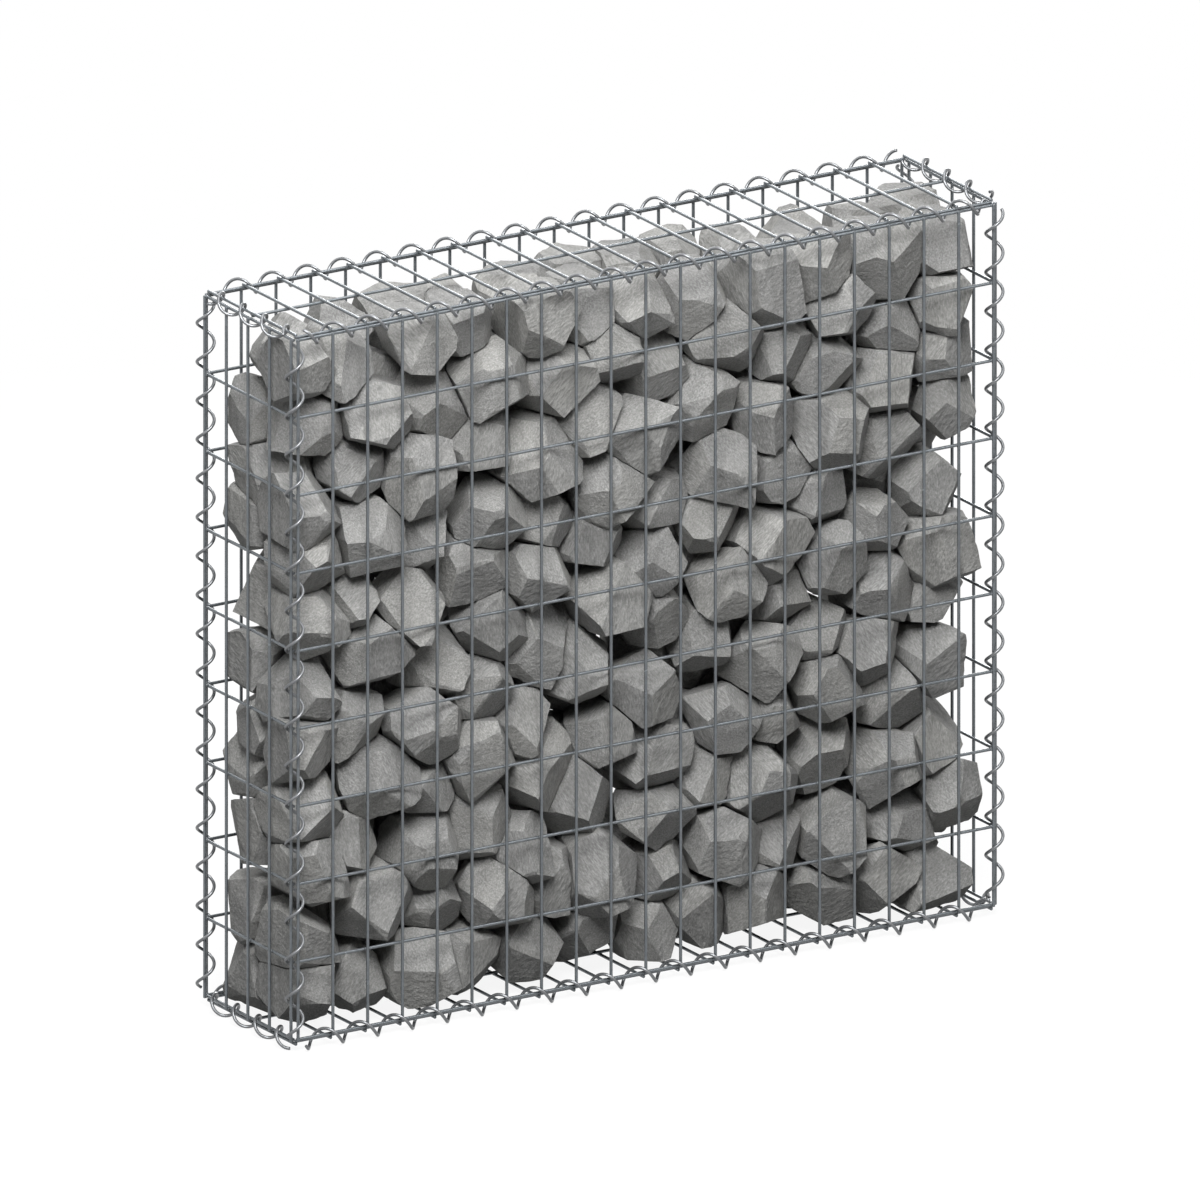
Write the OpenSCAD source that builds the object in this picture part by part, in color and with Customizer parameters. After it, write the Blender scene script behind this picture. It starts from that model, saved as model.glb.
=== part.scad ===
// Gabion wall basket: six welded wire mesh panels, laced along all twelve edges
// with wire spirals and filled with broken stone.
// Millimetres. The origin is on the floor under the middle of the basket,
// x runs along the wall, the front faces -y and z is up.

/* [Basket] */
// length between the centres of the first and last upright
basket_length = 1000; // [600:50:1500]
// depth between the centres of the first and last upright of an end
basket_depth = 200; // [200:50:400]
// height between the lowest and the highest level wire
basket_height = 900; // [500:50:1000]

/* [Mesh] */
// spacing of the wires on the outer side of each panel
close_pitch = 50; // [40:5:100]
// spacing of the wires on the inner side of each panel
wide_pitch = 100; // [80:5:200]
// thickness of the mesh wire
wire_d = 4; // [3:0.5:5]
// how far crossing wires sink into each other at a weld
weld_set = 0.6; // [0.3:0.1:1]
// clearance between the edge wires of two panels that meet
edge_clearance = 0.1; // [0.1:0.05:0.3]

/* [Spirals] */
// outer diameter of a lacing spiral
spiral_d = 25; // [22:1:35]
// thickness of the spiral's wire
spiral_wire_d = 4; // [3:0.5:4.5]
// clearance where a spiral lies against a mesh wire
seat_clearance = 0.2; // [0.1:0.05:0.4]
// distance from the corner of the basket to the end of a spiral
spiral_inset = 3; // [2:1:20]

/* [Stones] */
// stones in a row along the wall
stones_along = 12; // [8:1:16]
// stones from front to back
stones_deep = 2; // [2:1:3]
// stones' reach before they meet a neighbour, as a share of their cell
stone_fill_ratio = 0.57; // [0.44:0.01:0.6]
// broken faces on a stone
stone_faces = 10; // [8:1:16]
// how far a stone strays from its place, as a share of its cell
stone_stray_ratio = 0.2; // [0:0.01:0.22]
// clearance between neighbouring stones
stone_clearance = 0.3; // [0.2:0.05:1]
// space left empty at each end of the fill
end_space = 6; // [5:1:30]
// space left empty under the lid
lid_space = 12; // [5:1:60]
// number that sets the random shapes of the stones
stone_seed = 23; // [1:1:999]

/* [Hidden] */

// courses of stone, one node each
courses = 11;
// wire counts and true spacings
close_x = round(basket_length / close_pitch);
close_y = round(basket_depth / close_pitch);
wide_y = max(1, round(basket_depth / wide_pitch));
wide_z = max(1, round(basket_height / wide_pitch));
step_x = basket_length / close_x;
step_y = basket_depth / close_y;
step_wide_y = basket_depth / wide_y;
step_z = basket_height / wide_z;
wire_r = wire_d / 2;
// distance between the two layers of wire in a panel
layer_step = wire_d - weld_set;
// distance from a panel's edge line to its inner layer, so that two edge wires pass diagonally
edge_step = (wire_d + edge_clearance) / sqrt(2);
// distance from the edge line to the outer layer
outer_step = edge_step + layer_step;
// inner wires stop inside the edge wires of the next panel
inner_end = edge_step - wire_r - 2 * edge_clearance;
half_l = basket_length / 2;
half_d = basket_depth / 2;
// spirals: centre line of the coil about an axis halfway out in the corner
spiral_r = (spiral_d - spiral_wire_d) / 2;
axis_step = outer_step / 2;
// height of the lowest level wire, with the lowest coil on the floor
base_z = axis_step + spiral_d / 2;
// half the side of a square strand with the same section as the round wire
strand_half = spiral_wire_d * sqrt(PI) / 4;
// straight pieces in one turn of a spiral
turn_steps = 8;
// mesh wires have eight sides
wire_sides = 8;
// envelope of the fill, measured from the wires' inner faces
fill_clearance = 0.4;
fill_x = half_l + edge_step - wire_r - end_space;
fill_y = half_d + edge_step - wire_r - fill_clearance;
fill_low = base_z - edge_step + wire_r + stone_clearance;
fill_high = base_z + basket_height - lid_space;
// alternate rows are shifted along the wall by this share of a cell
row_shift_ratio = 0.3;
// alternate stones of a course are raised and lowered by this share of a cell
course_shift_ratio = 0.2;
// the outer stones lie back from the mesh by up to this share of a cell
inward_ratio = 0.14;
// alternate stones lie back from the mesh by this share more
depth_shift_ratio = 0.15;
cell_x = 2 * fill_x / stones_along;
cell_y = 2 * fill_y / stones_deep;
cell_z = (fill_high - fill_low) / courses;
cell_mean = pow(cell_x * cell_y * cell_z, 1 / 3);
// half-spaces further out than this don't reach a stone
stone_reach = cell_mean * 0.85;

wire_color = "#8a949c";
spiral_color = "#a8adb0";
stone_color = "#83817c";

// mesh wire along +z from the origin, flat sides towards the axes
module wire(length) {
    rotate([0, 0, 180 / wire_sides])
        cylinder(r = wire_r / cos(180 / wire_sides), h = length, $fn = wire_sides);
}

module wire_x(from, length) {
    translate(from)
        rotate([0, 90, 0])
            wire(length);
}

module wire_y(from, length) {
    translate(from)
        rotate([-90, 0, 0])
            wire(length);
}

module wire_z(from, length) {
    translate(from)
        wire(length);
}

// front or back: uprights outside, level wires inside
module long_panel(side) {
    color(wire_color)
        union() {
            for (i = [0 : close_x])
                wire_z([i * step_x - half_l, side * (half_d + outer_step), base_z - wire_r],
                    basket_height + wire_d);
            for (k = [0 : wide_z])
                wire_x([-half_l - inner_end, side * (half_d + edge_step), base_z + k * step_z],
                    basket_length + 2 * inner_end);
        }
}

// left or right end: uprights outside, level wires inside
module end_panel(side) {
    color(wire_color)
        union() {
            for (j = [0 : close_y])
                wire_z([side * (half_l + outer_step), j * step_y - half_d, base_z - wire_r],
                    basket_height + wire_d);
            for (k = [0 : wide_z])
                wire_y([side * (half_l + edge_step), -half_d - inner_end, base_z + k * step_z],
                    basket_depth + 2 * inner_end);
        }
}

// lid or base: cross wires outside, long wires inside
module flat_panel(level, side) {
    color(wire_color)
        union() {
            for (i = [0 : close_x])
                wire_y([i * step_x - half_l, -half_d - wire_r, level + side * outer_step],
                    basket_depth + wire_d);
            for (j = [0 : wide_y])
                wire_x([-half_l - inner_end, j * step_wide_y - half_d, level + side * edge_step],
                    basket_length + 2 * inner_end);
        }
}

// corner points of one square section of a strand at a turn angle and a height
function strand_ring(angle, height, slope) = let (
        out = [cos(angle), sin(angle), 0],
        side = [sin(angle) * sin(slope), -cos(angle) * sin(slope), cos(slope)],
        middle = [spiral_r * out[0], spiral_r * out[1], height]
    ) [
        middle + strand_half * (out - side),
        middle + strand_half * (out + side),
        middle + strand_half * (side - out),
        middle - strand_half * (out + side)
    ];

// right-handed spiral about z between two heights, that passes a mesh wire at
// wire_height, which leaves the coil at wire_angle, on its lower or upper side
module spiral(low, high, pitch, wire_height, wire_angle, side) {
    slope = atan(pitch / (2 * PI * spiral_r));
    touch = (wire_r + spiral_wire_d / 2 + seat_clearance) / cos(slope);
    start = wire_height + side * touch;
    step = pitch / turn_steps;
    first = ceil((low - start) / step);
    last = floor((high - start) / step);
    count = last - first;
    rings = [for (m = [first : last])
        each strand_ring(wire_angle + m * 360 / turn_steps, start + m * step, slope)];
    sides = [for (m = [0 : count - 1]) for (s = [0 : 3]) each [
        [4 * m + s, 4 * m + 4 + s, 4 * m + 4 + (s + 1) % 4],
        [4 * m + s, 4 * m + 4 + (s + 1) % 4, 4 * m + (s + 1) % 4]
    ]];
    ends = [[0, 1, 2, 3], [4 * count + 3, 4 * count + 2, 4 * count + 1, 4 * count]];
    color(spiral_color)
        polyhedron(points = rings, faces = concat(sides, ends));
}

// angle at which an outer wire leaves the coil
leave_angle = asin(axis_step / spiral_r);
// angle at which an inner wire leaves the coil
inner_angle = asin((axis_step - edge_step) / spiral_r);

// spiral along x on the edge at a depth and a height
module long_spiral(side, level, wire_angle, touch_side) {
    translate([0, side * (half_d + axis_step), level])
        rotate([90, 0, 90])
            spiral(spiral_inset - half_l, half_l - spiral_inset, step_x, -half_l,
                wire_angle, touch_side);
}

// spiral along y on the edge of an end
module short_spiral(side, level, wire_angle, touch_side) {
    translate([side * (half_l + axis_step), 0, level])
        rotate([-90, -90, 0])
            spiral(spiral_inset - half_d, half_d - spiral_inset, step_y, -half_d,
                wire_angle, touch_side);
}

// spiral up a corner
module upright_spiral(side_x, side_y, wire_angle, touch_side) {
    translate([side_x * (half_l + axis_step), side_y * (half_d + axis_step), base_z])
        spiral(spiral_inset, basket_height - spiral_inset, step_z / 2, 0,
            wire_angle, touch_side);
}

top_z = base_z + basket_height;

// random numbers between 0 and 1 of one stone
function stone_rolls(i, j, k, count) =
    rands(0, 1, count, stone_seed * 1000 + i + 20 * j + 100 * k);

// middle of the stone at a place in the rows
function stone_middle(i, j, k) = let (
        r = stone_rolls(i, j, k, 4),
        back = inward_ratio * r[1] + depth_shift_ratio * ((i + j + k) % 2)
    ) [
        (i + 0.5 + row_wave(i, j + k) + stone_stray_ratio * (2 * r[0] - 1)) * cell_x - fill_x,
        (j + 0.5 + back * (1 - 2 * j / (stones_deep - 1))) * cell_y - fill_y,
        (k + 0.5 + course_wave(i + j, k) + stone_stray_ratio * (2 * r[2] - 1)) * cell_z + fill_low
    ];

// alternate rows lie to the left and right, but less so at the ends of the wall
function row_wave(i, k) =
    row_shift_ratio * (k % 2 - 0.5) * min(1, (i + 0.5) / 1.5, (stones_along - 0.5 - i) / 1.5);

// courses wave up and down, but not at the base and under the lid
function course_wave(i, k) =
    course_shift_ratio * (2 * (i % 2) - 1) * min(1, k / 2, (courses - 1 - k) / 2);

// size of a stone against its neighbours
function stone_size(i, j, k) = 0.88 + 0.24 * stone_rolls(i, j, k, 4)[3];

function turned(v, a) = let (
        x = [v[0], v[1] * cos(a[0]) - v[2] * sin(a[0]), v[1] * sin(a[0]) + v[2] * cos(a[0])],
        y = [x[0] * cos(a[1]) + x[2] * sin(a[1]), x[1], x[2] * cos(a[1]) - x[0] * sin(a[1])]
    ) [y[0] * cos(a[2]) - y[1] * sin(a[2]), y[0] * sin(a[2]) + y[1] * cos(a[2]), y[2]];

// broken faces, as direction and distance, spread round the stone
function broken_planes(i, j, k) = let (
        r = stone_rolls(i, j, k, 8 + 3 * stone_faces),
        pose = [360 * r[4], 360 * r[5], 360 * r[6]],
        size = stone_size(i, j, k) * stone_fill_ratio * cell_mean
    ) [for (f = [0 : stone_faces - 1]) let (
            z = 1 - (2 * f + 0.5 + r[8 + 3 * f]) / stone_faces,
            a = f * 137.5 + 40 * r[9 + 3 * f],
            w = sqrt(max(0, 1 - z * z))
        ) [turned([w * cos(a), w * sin(a), z], pose), size * (0.76 + 0.26 * r[10 + 3 * f])]];

// planes shared with the stones around
function shared_planes(i, j, k) = let (own = stone_middle(i, j, k), size = stone_size(i, j, k)) [
        for (a = [max(0, i - 2) : min(stones_along - 1, i + 2)])
        for (b = [max(0, j - 1) : min(stones_deep - 1, j + 1)])
        for (c = [max(0, k - 2) : min(courses - 1, k + 2)])
            if (a != i || b != j || c != k) let (
                way = stone_middle(a, b, c) - own,
                far = norm(way)
            ) [way / far, far * size / (size + stone_size(a, b, c)) - stone_clearance / 2]];

// sides of the fill, and slanted ones that keep clear of the spirals
function fill_planes(own) = let (
        keep = spiral_d / 2 + 2 * fill_clearance,
        high = fill_high,
        axis_x = half_l + axis_step,
        axis_y = half_d + axis_step,
        low_z = base_z - axis_step,
        high_z = top_z + axis_step,
        slant = sqrt(0.5)
    ) concat(
        [for (s = [-1, 1]) [[s, 0, 0], fill_x - s * own[0]]],
        [for (s = [-1, 1]) [[0, s, 0], fill_y - s * own[1]]],
        [[[0, 0, -1], own[2] - fill_low], [[0, 0, 1], high - own[2]]],
        [for (s = [-1, 1], t = [-1, 1])
            [[s, t, 0] * slant, slant * (axis_x - s * own[0] + axis_y - t * own[1]) - keep]],
        [for (s = [-1, 1]) each [
            [[0, s, -1] * slant, slant * (axis_y - s * own[1] + own[2] - low_z) - keep],
            [[0, s, 1] * slant, slant * (axis_y - s * own[1] + high_z - own[2]) - keep],
            [[s, 0, -1] * slant, slant * (axis_x - s * own[0] + own[2] - low_z) - keep],
            [[s, 0, 1] * slant, slant * (axis_x - s * own[0] + high_z - own[2]) - keep]
        ]]
    );

// everything on the near side of a plane
module near_side(plane) {
    way = plane[0];
    rotate([0, acos(way[2]), atan2(way[1], way[0])])
        translate([-2 * stone_reach, -2 * stone_reach, plane[1] - 4 * stone_reach])
            cube(4 * stone_reach);
}

module stone(i, j, k) {
    own = stone_middle(i, j, k);
    planes = concat(broken_planes(i, j, k), shared_planes(i, j, k), fill_planes(own));
    translate(own)
        intersection_for (plane = [for (p = planes) if (p[1] < stone_reach) p])
            near_side(plane);
}

module stone_course(k) {
    color(stone_color)
        for (j = [0 : stones_deep - 1], i = [0 : stones_along - 1])
            stone(i, j, k);
}

module base_panel() flat_panel(base_z, -1);
module lid_panel() flat_panel(top_z, 1);
module front_panel() long_panel(-1);
module back_panel() long_panel(1);
module left_end_panel() end_panel(-1);
module right_end_panel() end_panel(1);

module bottom_front_spiral() long_spiral(-1, base_z - axis_step, 90 + leave_angle, -1);
module bottom_back_spiral() long_spiral(1, base_z - axis_step, 180 + leave_angle, -1);
module top_front_spiral() long_spiral(-1, top_z + axis_step, leave_angle, -1);
module top_back_spiral() long_spiral(1, top_z + axis_step, 180 - leave_angle, 1);
module bottom_left_spiral() short_spiral(-1, base_z - axis_step, 90 - inner_angle, -1);
module bottom_right_spiral() short_spiral(1, base_z - axis_step, 270 + inner_angle, 1);
module top_left_spiral() short_spiral(-1, top_z + axis_step, 180 + leave_angle, -1);
module top_right_spiral() short_spiral(1, top_z + axis_step, 270 - inner_angle, -1);
module front_left_spiral() upright_spiral(-1, -1, 90 - inner_angle, -1);
module front_right_spiral() upright_spiral(1, -1, 90 + inner_angle, 1);
module back_left_spiral() upright_spiral(-1, 1, -inner_angle, -1);
module back_right_spiral() upright_spiral(1, 1, 180 + inner_angle, -1);

module stone_course_01() stone_course(0);
module stone_course_02() stone_course(1);
module stone_course_03() stone_course(2);
module stone_course_04() stone_course(3);
module stone_course_05() stone_course(4);
module stone_course_06() stone_course(5);
module stone_course_07() stone_course(6);
module stone_course_08() stone_course(7);
module stone_course_09() stone_course(8);
module stone_course_10() stone_course(9);
module stone_course_11() stone_course(10);

base_panel();
front_panel();
back_panel();
left_end_panel();
right_end_panel();
lid_panel();
bottom_front_spiral();
bottom_back_spiral();
bottom_left_spiral();
bottom_right_spiral();
front_left_spiral();
front_right_spiral();
back_left_spiral();
back_right_spiral();
top_front_spiral();
top_back_spiral();
top_left_spiral();
top_right_spiral();
stone_course_01();
stone_course_02();
stone_course_03();
stone_course_04();
stone_course_05();
stone_course_06();
stone_course_07();
stone_course_08();
stone_course_09();
stone_course_10();
stone_course_11();
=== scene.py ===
import math

import bmesh
import bpy
import numpy as np
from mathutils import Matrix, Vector
from mathutils.geometry import delaunay_2d_cdt


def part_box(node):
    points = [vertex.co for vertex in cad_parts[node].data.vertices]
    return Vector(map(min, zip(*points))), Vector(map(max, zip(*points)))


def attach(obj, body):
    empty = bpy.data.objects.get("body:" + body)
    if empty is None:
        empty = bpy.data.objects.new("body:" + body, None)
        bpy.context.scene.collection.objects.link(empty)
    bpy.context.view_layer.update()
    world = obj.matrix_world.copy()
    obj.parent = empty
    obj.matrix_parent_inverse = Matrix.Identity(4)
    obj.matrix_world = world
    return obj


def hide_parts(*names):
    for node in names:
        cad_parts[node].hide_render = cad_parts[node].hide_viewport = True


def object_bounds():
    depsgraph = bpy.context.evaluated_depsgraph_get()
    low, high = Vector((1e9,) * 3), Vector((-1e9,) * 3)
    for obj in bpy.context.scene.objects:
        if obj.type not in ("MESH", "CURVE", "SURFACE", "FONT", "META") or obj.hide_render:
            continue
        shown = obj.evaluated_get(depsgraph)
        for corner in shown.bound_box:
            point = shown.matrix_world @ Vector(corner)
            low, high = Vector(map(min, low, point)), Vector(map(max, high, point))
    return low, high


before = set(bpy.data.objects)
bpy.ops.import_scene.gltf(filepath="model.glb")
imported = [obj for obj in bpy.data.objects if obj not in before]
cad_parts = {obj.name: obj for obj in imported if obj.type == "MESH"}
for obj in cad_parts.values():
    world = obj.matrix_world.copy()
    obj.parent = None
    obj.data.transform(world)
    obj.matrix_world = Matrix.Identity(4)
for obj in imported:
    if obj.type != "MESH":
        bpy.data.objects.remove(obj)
cad_low, cad_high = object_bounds()


# Base panel
# A flat sheet of 4 mm galvanised steel wire, resistance-welded at every crossing.
# It lies on the ground with its close cross wires underneath and three long wires on top,
# and everything else stands on it. The wires are sheared off, which leaves a small burr.

WIRE_R = 0.002
WIRE_SIDES = 12
SHEAR_BURR = 0.0004
INNER_TRIM = 0.0013
WELD_REACH = 0.0027
WELD_DEPTH = 0.0011


def sweep(path, outward, radii, sides):
    """Tube through the points of path; outward gives a side direction at each point."""
    along = np.gradient(path, axis=0)
    along /= np.linalg.norm(along, axis=1, keepdims=True)
    first = outward - (outward * along).sum(1, keepdims=True) * along
    first /= np.linalg.norm(first, axis=1, keepdims=True)
    second = np.cross(along, first)
    turn = np.linspace(0, 2 * math.pi, sides, endpoint=False)
    ring = (np.cos(turn)[None, :, None] * first[:, None, :]
            + np.sin(turn)[None, :, None] * second[:, None, :])
    verts = (path[:, None, :] + radii[:, None, None] * ring).reshape(-1, 3)
    faces = []
    for r in range(len(path) - 1):
        for s in range(sides):
            n = (s + 1) % sides
            faces.append((r * sides + s, r * sides + n, (r + 1) * sides + n, (r + 1) * sides + s))
    faces.append(tuple(reversed(range(sides))))
    faces.append(tuple(range((len(path) - 1) * sides, len(path) * sides)))
    return verts, faces


def straight_wire(start, end):
    """One sheared length of mesh wire."""
    start, end = np.array(start, float), np.array(end, float)
    length = np.linalg.norm(end - start)
    way = (end - start) / length
    stops = np.array([0, SHEAR_BURR, length / 2, length - SHEAR_BURR, length])
    radii = np.array([WIRE_R - SHEAR_BURR, WIRE_R, WIRE_R, WIRE_R, WIRE_R - SHEAR_BURR])
    side = np.array([0.0, 0.0, 1.0]) if abs(way[2]) < 0.5 else np.array([1.0, 0.0, 0.0])
    path = start + stops[:, None] * way
    return sweep(path, np.repeat(side[None, :], len(stops), 0), radii, WIRE_SIDES)


def weld_bead(centre, normal_axis):
    """Squeezed-out metal between two crossing wires, flat along the panel's normal."""
    size = np.full(3, WELD_REACH)
    size[normal_axis] = WELD_DEPTH
    verts, faces = [], []
    rows, cols = 5, 10
    for r in range(rows):
        lift = math.pi * (r + 0.5) / rows - math.pi / 2
        for c in range(cols):
            turn = 2 * math.pi * c / cols
            p = np.zeros(3)
            p[normal_axis] = math.sin(lift)
            p[(normal_axis + 1) % 3] = math.cos(lift) * math.cos(turn)
            p[(normal_axis + 2) % 3] = math.cos(lift) * math.sin(turn)
            verts.append(centre + p * size)
    for r in range(rows - 1):
        for c in range(cols):
            n = (c + 1) % cols
            faces.append((r * cols + c, r * cols + n, (r + 1) * cols + n, (r + 1) * cols + c))
    faces.append(tuple(reversed(range(cols))))
    faces.append(tuple(range((rows - 1) * cols, rows * cols)))
    return np.array(verts), faces


def make_piece(name, groups, node, sharp_deg=40):
    """Joins groups of (parts, material) into one object that stands for a CAD node."""
    verts, faces, slots = [], [], []
    count = 0
    for index, (parts, material) in enumerate(groups):
        for part_verts, part_faces in parts:
            verts.append(part_verts)
            faces += [tuple(i + count for i in f) for f in part_faces]
            slots += [index] * len(part_faces)
            count += len(part_verts)
    mesh = bpy.data.meshes.new(name)
    mesh.from_pydata(np.concatenate(verts).tolist(), [], faces)
    for parts, material in groups:
        mesh.materials.append(material)
    mesh.polygons.foreach_set("material_index", slots)
    mesh.shade_smooth()
    mesh.set_sharp_from_angle(angle=math.radians(sharp_deg))
    piece = bpy.data.objects.new(name, mesh)
    bpy.context.scene.collection.objects.link(piece)
    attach(piece, "root")
    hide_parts(node)


def wire_panel(name, node, outer_axis, inner_axis, outer_count, inner_count, outer_low):
    """Welded mesh: outer_count wires along outer_axis over inner_count wires along inner_axis.

    outer_low says that the outer layer is on the low side of the panel's thickness."""
    low, high = (np.array(c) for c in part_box(node))
    normal = 3 - outer_axis - inner_axis
    outer_level = low[normal] + WIRE_R if outer_low else high[normal] - WIRE_R
    inner_level = high[normal] - WIRE_R if outer_low else low[normal] + WIRE_R
    outer_at = np.linspace(low[inner_axis] + WIRE_R, high[inner_axis] - WIRE_R, outer_count)
    inner_at = np.linspace(low[outer_axis] + WIRE_R, high[outer_axis] - WIRE_R, inner_count)
    wires, beads = [], []
    for at in outer_at:
        start, end = np.zeros(3), np.zeros(3)
        start[normal] = end[normal] = outer_level
        start[inner_axis] = end[inner_axis] = at
        start[outer_axis], end[outer_axis] = low[outer_axis], high[outer_axis]
        wires.append(straight_wire(start, end))
    for at in inner_at:
        start, end = np.zeros(3), np.zeros(3)
        start[normal] = end[normal] = inner_level
        start[outer_axis] = end[outer_axis] = at
        start[inner_axis] = low[inner_axis] + INNER_TRIM
        end[inner_axis] = high[inner_axis] - INNER_TRIM
        wires.append(straight_wire(start, end))
    for a in outer_at:
        for b in inner_at:
            centre = np.zeros(3)
            centre[normal] = (outer_level + inner_level) / 2
            centre[inner_axis], centre[outer_axis] = a, b
            beads.append(weld_bead(centre, normal))
    make_piece(name, [(wires, mesh_zinc), (beads, weld_zinc)], node)


class Shading:
    """A new material with its shader, and short calls to add and link nodes."""

    def __init__(self, name):
        self.material = bpy.data.materials.new(name)
        self.material.use_nodes = True
        self.tree = self.material.node_tree
        self.shader = self.tree.nodes["Principled BSDF"]

    def node(self, kind, **values):
        made = self.tree.nodes.new(kind)
        for key, value in values.items():
            if key in made.inputs:
                made.inputs[key].default_value = value
            else:
                setattr(made, key, value)
        return made

    def link(self, source, target):
        self.tree.links.new(source, target)

    def noise(self, vector, scale, detail=3.0, rough=0.55):
        made = self.node("ShaderNodeTexNoise", Scale=scale, Detail=detail, Roughness=rough)
        self.link(vector, made.inputs["Vector"])
        return made.outputs["Fac"]

    def ramp(self, value, *stops):
        made = self.node("ShaderNodeValToRGB")
        points = made.color_ramp.elements
        while len(points) < len(stops):
            points.new(0.5)
        for point, (at, colour) in zip(points, stops):
            point.position = at
            point.color = (*colour, 1)
        self.link(value, made.inputs["Fac"])
        return made.outputs["Color"]

    def mix(self, factor, a, b, kind="MIX"):
        made = self.node("ShaderNodeMix", data_type="RGBA", blend_type=kind)
        for source, socket in ((factor, made.inputs[0]), (a, made.inputs[6]), (b, made.inputs[7])):
            if isinstance(source, bpy.types.NodeSocket):
                self.link(source, socket)
            else:
                socket.default_value = source
        return made.outputs[2]

    def range(self, value, low, high, to_low, to_high):
        made = self.node("ShaderNodeMapRange")
        self.link(value, made.inputs["Value"])
        made.inputs["From Min"].default_value = low
        made.inputs["From Max"].default_value = high
        made.inputs["To Min"].default_value = to_low
        made.inputs["To Max"].default_value = to_high
        return made.outputs["Result"]

    def bump(self, height, strength, distance, under=None):
        made = self.node("ShaderNodeBump", Strength=strength, Distance=distance)
        self.link(height, made.inputs["Height"])
        if under is not None:
            self.link(under, made.inputs["Normal"])
        return made.outputs["Normal"]


def zinc_coat(name, dark, pale, rough_low, rough_high, spangle, bright, grit):
    """Hot-dip zinc: crystals a few millimetres wide, a dull bloom in patches, a fine grain.

    bright is the share of bare metal against the matt oxide on it, grit how coarse it feels."""
    s = Shading(name)
    place = s.node("ShaderNodeTexCoord").outputs["Object"]
    crystals = s.node("ShaderNodeTexVoronoi", Scale=spangle)
    s.link(place, crystals.inputs["Vector"])
    tone = s.node("ShaderNodeSeparateColor")
    s.link(crystals.outputs["Color"], tone.inputs["Color"])
    colour = s.ramp(tone.outputs["Red"], (0.0, dark), (1.0, pale))
    bloom = s.noise(place, 35.0, 4.0)
    bloomed = s.mix(s.range(bloom, 0.5, 0.75, 0.0, 0.45), colour, (*[c * 1.25 for c in pale], 1))
    s.link(bloomed, s.shader.inputs["Base Color"])
    s.link(s.range(bloom, 0.3, 0.7, rough_low, rough_high), s.shader.inputs["Roughness"])
    grain = s.noise(place, 1400.0, 2.0)
    s.link(s.bump(grain, grit, 0.0001), s.shader.inputs["Normal"])
    s.shader.inputs["Metallic"].default_value = bright
    return s.material


mesh_zinc = zinc_coat("mesh_zinc", dark=(0.118, 0.130, 0.140), pale=(0.148, 0.162, 0.174),
                      rough_low=0.20, rough_high=0.28, spangle=260.0, bright=0.55, grit=0.12)
weld_zinc = zinc_coat("weld_zinc", dark=(0.112, 0.120, 0.128), pale=(0.152, 0.162, 0.171),
                      rough_low=0.48, rough_high=0.62, spangle=500.0, bright=0.5, grit=0.3)

CROSS_WIRES = 21
LONG_WIRES = 3
wire_panel("base_mesh", "base_panel", 1, 0, CROSS_WIRES, LONG_WIRES, True)


# Front and back panels
# Two upright sheets of the same mesh. The close uprights are on the outside and stand on
# the base, and the level wires are welded to their inner side.

UPRIGHTS = 21
LEVEL_WIRES = 10
wire_panel("front_mesh", "front_panel", 2, 0, UPRIGHTS, LEVEL_WIRES, True)
wire_panel("back_mesh", "back_panel", 2, 0, UPRIGHTS, LEVEL_WIRES, False)


# End panels
# Two narrow sheets of the same galvanised mesh, with their uprights outside. They stand on
# the base between the long panels and close the ends of the basket.

END_UPRIGHTS = 5
wire_panel("left_end_mesh", "left_end_panel", 2, 1, END_UPRIGHTS, LEVEL_WIRES, True)
wire_panel("right_end_mesh", "right_end_panel", 2, 1, END_UPRIGHTS, LEVEL_WIRES, False)


# Lacing spirals along the base and up the corners
# Open right-handed coils of 4 mm galvanised spring wire. Each is screwed along an edge so
# that it winds round the edge wires of both panels, and its ends are cut off square.

SPIRAL_WIRE_R = 0.002
SPIRAL_R = 0.0105
SPIRAL_PITCH = 0.05
CUT_BURR = 0.0003
CUT_LENGTH = 0.0002
TURN_RINGS = 36
SPIRAL_SIDES = 14

spiral_zinc = zinc_coat("spiral_zinc", dark=(0.150, 0.155, 0.162), pale=(0.172, 0.177, 0.184),
                        rough_low=0.31, rough_high=0.37, spangle=200.0, bright=0.72, grit=0.03)


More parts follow.
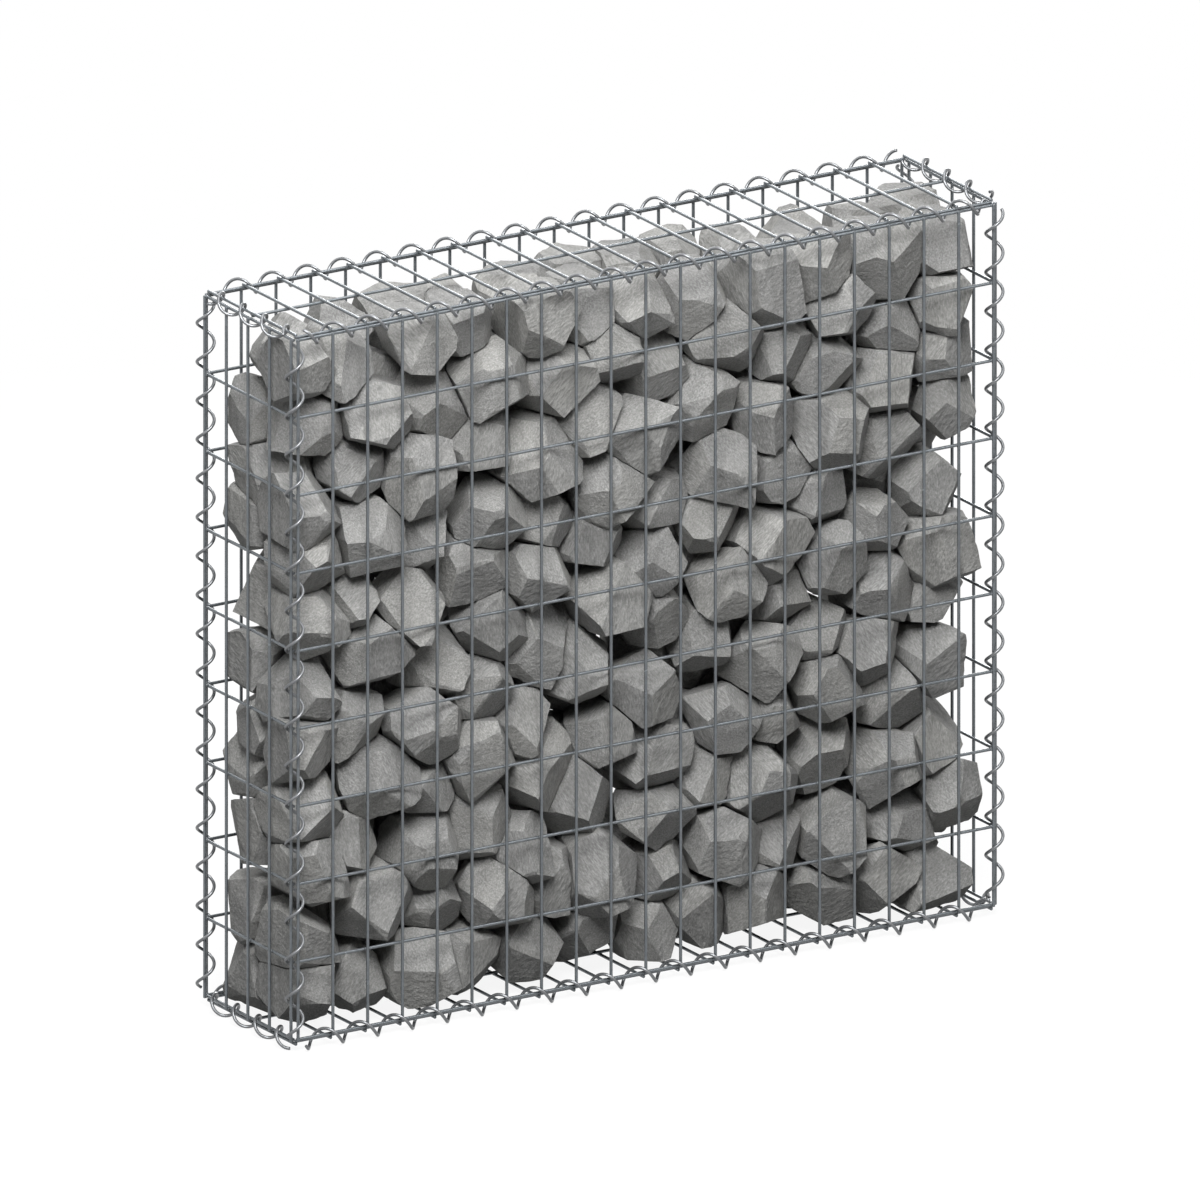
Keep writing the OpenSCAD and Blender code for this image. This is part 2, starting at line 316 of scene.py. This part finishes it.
def lacing_spiral(name, node):
    """Smooth round coil on the axis, turn and ends of the CAD strand."""
    low, high = (np.array(c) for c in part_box(node))
    axis = int(np.argmax(high - low))
    right, up = (axis + 1) % 3, (axis + 2) % 3
    middle = (low + high) / 2
    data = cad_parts[node].data
    points = np.empty(len(data.vertices) * 3)
    data.vertices.foreach_get("co", points)
    points = points.reshape(-1, 3)
    turn = np.arctan2(points[:, up] - middle[up], points[:, right] - middle[right])
    phase = np.angle(np.exp(1j * (turn - 2 * math.pi * points[:, axis] / SPIRAL_PITCH)).mean())
    slope = math.atan(SPIRAL_PITCH / (2 * math.pi * SPIRAL_R))
    # the CAD strand is square, with the round wire's section
    square_half = SPIRAL_WIRE_R * 0.886
    margin = square_half * math.cos(slope)
    start, end = low[axis] + margin, high[axis] - margin
    count = int((end - start) / SPIRAL_PITCH * TURN_RINGS)
    stops = np.concatenate([[start, start + CUT_LENGTH],
                            np.linspace(start, end, count + 1)[1:-1], [end - CUT_LENGTH, end]])
    angle = phase + 2 * math.pi * stops / SPIRAL_PITCH
    path, outward = np.zeros((len(stops), 3)), np.zeros((len(stops), 3))
    outward[:, right], outward[:, up] = np.cos(angle), np.sin(angle)
    path[:, axis] = stops
    path[:, right] = middle[right] + SPIRAL_R * outward[:, right]
    path[:, up] = middle[up] + SPIRAL_R * outward[:, up]
    radii = np.full(len(stops), SPIRAL_WIRE_R)
    radii[0] = radii[-1] = SPIRAL_WIRE_R - CUT_BURR
    make_piece(name, [([sweep(path, outward, radii, SPIRAL_SIDES)], spiral_zinc)],
               node, 50)


for edge in ("bottom_front", "bottom_back", "bottom_left", "bottom_right",
             "front_left", "front_right", "back_left", "back_right"):
    lacing_spiral("spiral_" + edge, edge + "_spiral")


# Stone fill
# Eleven courses of quarried grey stone, about a hand's width each, tipped in and packed by
# hand. The faces are freshly broken: flat but uneven, with a fine streaky grain, and the
# edges are chipped where the stones knocked together.

COURSES = 11
FACET_GRID = 0.0058
KNOCK_SHARE = 0.25
KNOCK_WIDTH = 0.002
KNOCK_SPREAD = 0.006
EDGE_REACH = 0.002
SKIN = 0.0005


def stone_islands(node):
    """Corner points of each stone in a course node."""
    grid = bmesh.new()
    grid.from_mesh(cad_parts[node].data)
    bmesh.ops.remove_doubles(grid, verts=grid.verts, dist=1e-5)
    grid.verts.ensure_lookup_table()
    seen, islands = set(), []
    for vert in grid.verts:
        if vert.index in seen:
            continue
        stack, island = [vert], []
        seen.add(vert.index)
        while stack:
            v = stack.pop()
            island.append(tuple(v.co))
            for e in v.link_edges:
                o = e.other_vert(v)
                if o.index not in seen:
                    seen.add(o.index)
                    stack.append(o)
        islands.append(np.array(island))
    grid.free()
    islands.sort(key=lambda p: tuple(np.round(p.mean(0), 4)))
    return islands


def knocked_stone(points, draw):
    """Facets of one CAD stone, with some of its edges knocked off."""
    hull = bmesh.new()
    for p in points:
        hull.verts.new(p)
    bmesh.ops.convex_hull(hull, input=hull.verts)
    bmesh.ops.dissolve_limit(hull, angle_limit=math.radians(1), verts=hull.verts, edges=hull.edges)
    bmesh.ops.recalc_face_normals(hull, faces=hull.faces)
    edges = [e for e in hull.edges if e.calc_face_angle(0.0) > math.radians(30)]
    edges.sort(key=lambda e: tuple(round(c, 5) for c in e.verts[0].co + e.verts[1].co))
    knocks = []
    for edge in edges:
        if draw.random() < KNOCK_SHARE:
            way = edge.link_faces[0].normal + edge.link_faces[1].normal
            way = (way.normalized() + Vector(draw.normal(0, 0.12, 3))).normalized()
            width = KNOCK_WIDTH + KNOCK_SPREAD * draw.random() ** 2
            depth = width / 2 * math.tan(edge.calc_face_angle() / 2)
            knocks.append(((edge.verts[0].co + edge.verts[1].co) / 2 - way * depth, way))
    for at, way in knocks:
        cut = bmesh.ops.bisect_plane(hull, geom=hull.verts[:] + hull.edges[:] + hull.faces[:],
                                     dist=1e-5, plane_co=at, plane_no=way, clear_outer=True)
        rim = [g for g in cut["geom_cut"] if isinstance(g, bmesh.types.BMEdge)]
        if len(rim) > 2:
            bmesh.ops.edgeloop_fill(hull, edges=rim)
    bmesh.ops.remove_doubles(hull, verts=hull.verts, dist=4e-4)
    bmesh.ops.recalc_face_normals(hull, faces=hull.faces)
    hull.verts.index_update()
    hull.normal_update()
    return hull


def facet_grid(hull, draw):
    """Even triangles over the flat facets, with shared points along their edges."""
    verts, faces, known = [], [], {}
    for face in hull.faces:
        loops = list(face.loops)
        corner = loops[0].vert.co
        across = max((e for e in face.edges), key=lambda e: e.calc_length())
        across = (across.verts[1].co - across.verts[0].co).normalized()
        upward = face.normal.cross(across)
        flat, index = [], []
        for loop in loops:
            a, b = loop.vert, loop.link_loop_next.vert
            steps = max(1, round((b.co - a.co).length / FACET_GRID))
            for n in range(steps):
                key = (a.index,)
                if n:
                    key = (a.index, b.index, n) if a.index < b.index else (b.index, a.index, steps - n)
                place = a.co.lerp(b.co, n / steps)
                if key not in known:
                    known[key] = len(verts)
                    verts.append(tuple(place))
                index.append(known[key])
                flat.append(((place - corner).dot(across), (place - corner).dot(upward)))
        rim = np.array(flat)
        low, high = rim.min(0), rim.max(0)
        rows = np.arange(low[1], high[1], FACET_GRID * 0.87)
        cols = np.arange(low[0], high[0], FACET_GRID)
        inner = np.array([(c + FACET_GRID / 2 * (n % 2), r) for n, r in enumerate(rows) for c in cols])
        if len(inner):
            inner = inner + draw.uniform(-0.15, 0.15, inner.shape) * FACET_GRID
            corners = np.array([((l.vert.co - corner).dot(across), (l.vert.co - corner).dot(upward))
                                for l in loops])
            keep = np.ones(len(inner), bool)
            for p, q in zip(corners, np.roll(corners, -1, 0)):
                side = (q - p) / max(np.linalg.norm(q - p), 1e-9)
                keep &= side[0] * (inner[:, 1] - p[1]) - side[1] * (inner[:, 0] - p[0]) > FACET_GRID / 2
            for c, r in inner[keep]:
                index.append(len(verts))
                verts.append(tuple(corner + across * c + upward * r))
                flat.append((c, r))
        count = len(rim)
        made = delaunay_2d_cdt([Vector(f) for f in flat], [], [list(range(count))], 1, 1e-7)
        names = [index[source[0]] for source in made[3]]
        faces += [tuple(names[n] for n in f) for f in made[2]]
    return np.array(verts), faces


def waves(points, draw, count, longest, shortest):
    """Uneven rise and fall, between about -1 and 1, from a few crossing waves."""
    way = draw.normal(size=(count, 3))
    way /= np.linalg.norm(way, axis=1, keepdims=True)
    length = draw.uniform(shortest, longest, count)
    shift = draw.uniform(0, 2 * math.pi, count)
    return np.sin(points @ (way / length[:, None]).T * 2 * math.pi + shift).sum(1) / math.sqrt(count)


def broken_stone(points, draw):
    """One stone: facets made uneven, with worn and chipped edges."""
    hull = knocked_stone(points, draw)
    verts, faces = facet_grid(hull, draw)
    normals = np.array([f.normal for f in hull.faces])
    depths = np.array([f.normal.dot(f.calc_center_median()) for f in hull.faces])
    hull.free()
    inside = np.maximum(depths[None, :] - verts @ normals.T, 0)
    near_edge = np.exp(-(np.sort(inside, axis=1)[:, 1] / EDGE_REACH) ** 2)
    facing = np.exp(-inside / EDGE_REACH) @ normals
    facing /= np.linalg.norm(facing, axis=1, keepdims=True)
    rise = 0.0004 * waves(verts, draw, 6, 0.060, 0.026)
    rough = 0.0002 * waves(verts, draw, 8, 0.022, 0.014)
    chips = np.clip(waves(verts, draw, 7, 0.034, 0.014) - 0.5, 0, 1.0)
    move = np.minimum(rise + rough, SKIN) - SKIN - near_edge * (0.0002 + 0.0012 * chips)
    return verts + move[:, None] * facing, faces


def broken_faces():
    """Grey stone: fine streaks along the split, grit, paler dust in patches, and painted shade
    darkening the dents of the relief.
    """
    s = Shading("broken_stone")
    place = s.node("ShaderNodeTexCoord").outputs["Object"]
    each = s.node("ShaderNodeNewGeometry").outputs["Random Per Island"]
    turn = s.node("ShaderNodeVectorRotate", rotation_type="AXIS_ANGLE", Axis=(0.35, 0.55, 0.76))
    s.link(place, turn.inputs["Vector"])
    s.link(s.range(each, 0.0, 1.0, 0.0, 19.0), turn.inputs["Angle"])
    stretch = s.node("ShaderNodeMapping", Scale=(1.0, 1.0, 0.30))
    s.link(turn.outputs["Vector"], stretch.inputs["Vector"])
    streaks = s.noise(stretch.outputs["Vector"], 520.0, 2.0, 0.6)
    dents = s.node("ShaderNodeMapping", Scale=(1.0, 1.0, 0.55))
    s.link(turn.outputs["Vector"], dents.inputs["Vector"])
    relief = s.noise(dents.outputs["Vector"], 190.0, 2.0, 0.5)
    grit = s.noise(turn.outputs["Vector"], 480.0, 1.0, 0.6)
    cloud = s.noise(turn.outputs["Vector"], 30.0, 3.0, 0.5)
    body = s.ramp(streaks, (0.34, (0.180, 0.180, 0.176)), (0.52, (0.268, 0.268, 0.262)),
                  (0.68, (0.352, 0.351, 0.341)))
    clouded = s.mix(s.range(cloud, 0.42, 0.70, 0.0, 0.35), body, (0.315, 0.312, 0.300, 1))
    # painted shade: the colour is darkened where the relief is low, in the same dents that the bump
    # below makes
    painted_dent_shade = s.mix(s.range(relief, 0.55, 0.30, 0.0, 0.30), clouded, (0.195, 0.194, 0.190, 1))
    gritted = s.mix(s.range(grit, 0.52, 0.74, 0.0, 0.50), painted_dent_shade, (0.15, 0.149, 0.146, 1))
    level = s.ramp(each, (0.0, (0.88, 0.88, 0.885)), (0.5, (1.0, 1.0, 1.0)), (1.0, (1.08, 1.075, 1.06)))
    toned = s.mix(1.0, gritted, level, "MULTIPLY")
    s.link(toned, s.shader.inputs["Base Color"])
    s.link(s.range(streaks, 0.3, 0.7, 0.82, 0.94), s.shader.inputs["Roughness"])
    s.shader.inputs["Specular IOR Level"].default_value = 0.25
    split = s.bump(relief, 0.6, 0.0028)
    lines = s.bump(streaks, 0.4, 0.0007, split)
    s.link(s.bump(grit, 0.3, 0.0005, lines), s.shader.inputs["Normal"])
    return s.material


stone_face = broken_faces()

for course in range(1, COURSES + 1):
    draw = np.random.default_rng(500 + course)
    node = "stone_course_%02d" % course
    stones = [broken_stone(points, draw) for points in stone_islands(node)]
    make_piece("stones_%02d" % course, [(stones, stone_face)], node, 14)


# Lid panel and its spirals
# The lid is the same sheet as the base, turned over, with its cross wires on top. It is laid
# on when the stones are in, and laced shut all round with the last four coils.

wire_panel("lid_mesh", "lid_panel", 1, 0, CROSS_WIRES, LONG_WIRES, False)
for edge in ("top_front", "top_back", "top_left", "top_right"):
    lacing_spiral("spiral_" + edge, edge + "_spiral")


# Studio
# A plain white floor, and soft lamps: the main one is in front on the left, with weaker ones
# above, at the sides and behind. The view has no perspective and is from the left of the front.

FLOOR_HALF = 12.0
floor_mesh = bpy.data.meshes.new("studio_floor")
floor_mesh.from_pydata([(-FLOOR_HALF, -FLOOR_HALF, 0), (FLOOR_HALF, -FLOOR_HALF, 0),
                        (FLOOR_HALF, FLOOR_HALF, 0), (-FLOOR_HALF, FLOOR_HALF, 0)], [], [(0, 1, 2, 3)])
floor = bpy.data.objects.new("studio_floor", floor_mesh)
bpy.context.scene.collection.objects.link(floor)


def seen_ray(tree):
    """1 for rays that show the studio directly, in metal or through glass."""
    rays = tree.nodes.new("ShaderNodeLightPath")
    seen = rays.outputs["Is Camera Ray"]
    for ray in ("Is Glossy Ray", "Is Transmission Ray"):
        either = tree.nodes.new("ShaderNodeMath")
        either.operation = "MAXIMUM"
        tree.links.new(seen, either.inputs[0])
        tree.links.new(rays.outputs[ray], either.inputs[1])
        seen = either.outputs[0]
    return seen


paper = Shading("studio_paper")
shown = seen_ray(paper.tree)
paper.link(paper.mix(shown, (0.14, 0.14, 0.14, 1), (0.96, 0.96, 0.96, 1)),
           paper.shader.inputs["Base Color"])
paper.shader.inputs["Roughness"].default_value = 1.0
paper.shader.inputs["Specular IOR Level"].default_value = 0.0
glow = paper.node("ShaderNodeEmission", Color=(1, 1, 1, 1), Strength=1.0)
blend = paper.node("ShaderNodeMixShader")
reach = paper.node("ShaderNodeVectorMath", operation="LENGTH")
paper.link(paper.node("ShaderNodeTexCoord").outputs["Object"], reach.inputs[0])
white = paper.node("ShaderNodeMath", operation="MULTIPLY")
paper.link(shown, white.inputs[0])
paper.link(paper.range(reach.outputs["Value"], 0.9, 2.4, 0.90, 1.0), white.inputs[1])
paper.link(white.outputs[0], blend.inputs[0])
paper.link(paper.shader.outputs[0], blend.inputs[1])
paper.link(glow.outputs[0], blend.inputs[2])
paper.link(blend.outputs[0], paper.tree.nodes["Material Output"].inputs["Surface"])
floor_mesh.materials.append(paper.material)

world = bpy.data.worlds.new("studio_air")
bpy.context.scene.world = world
world.use_nodes = True
air = world.node_tree.nodes["Background"]
air.inputs["Color"].default_value = (1, 1, 1, 1)
SKY_LIGHT = 0.05
sky = world.node_tree.nodes.new("ShaderNodeMapRange")
sky.inputs["To Min"].default_value = SKY_LIGHT
sky.inputs["To Max"].default_value = 1.0
world.node_tree.links.new(seen_ray(world.node_tree), sky.inputs["Value"])
world.node_tree.links.new(sky.outputs["Result"], air.inputs["Strength"])

middle = Vector((0.0, 0.0, (cad_low.z + cad_high.z) / 2))


def soft_lamp(name, place, size, power):
    """Large square lamp, turned to the middle of the wall."""
    lamp = bpy.data.lights.new(name, "AREA")
    lamp.shape = "SQUARE"
    lamp.size = size
    lamp.energy = power
    holder = bpy.data.objects.new(name, lamp)
    holder.location = place
    holder.rotation_euler = (middle - Vector(place)).to_track_quat("-Z", "Y").to_euler()
    bpy.context.scene.collection.objects.link(holder)


soft_lamp("key_lamp", (-1.7, -2.3, 3.4), 1.8, 238.0)
soft_lamp("top_lamp", (0.5, -0.3, 3.9), 2.2, 76.0)
soft_lamp("side_lamp", (1.9, -2.2, 2.9), 0.9, 20.0)
soft_lamp("rear_lamp", (0.2, 3.0, 2.6), 2.0, 46.0)
soft_lamp("back_lamp", (2.4, 2.8, 1.0), 1.6, 84.0)
soft_lamp("left_lamp", (-3.0, 0.4, 2.4), 1.4, 14.0)

AZIMUTH = math.radians(-31.8)
ELEVATION = math.radians(18.3)
CAMERA_DISTANCE = 5.0
VIEW_WIDTH = 1.4665
lens = bpy.data.cameras.new("photo_camera")
lens.type = "ORTHO"
lens.ortho_scale = VIEW_WIDTH
lens.clip_end = 60.0
camera = bpy.data.objects.new("photo_camera", lens)
back = Vector((math.sin(AZIMUTH) * math.cos(ELEVATION),
               -math.cos(AZIMUTH) * math.cos(ELEVATION), math.sin(ELEVATION)))
camera.location = middle + back * CAMERA_DISTANCE
camera.rotation_euler = (-back).to_track_quat("-Z", "Y").to_euler()
bpy.context.scene.collection.objects.link(camera)
bpy.context.scene.camera = camera
bpy.context.scene.view_settings.view_transform = "Standard"
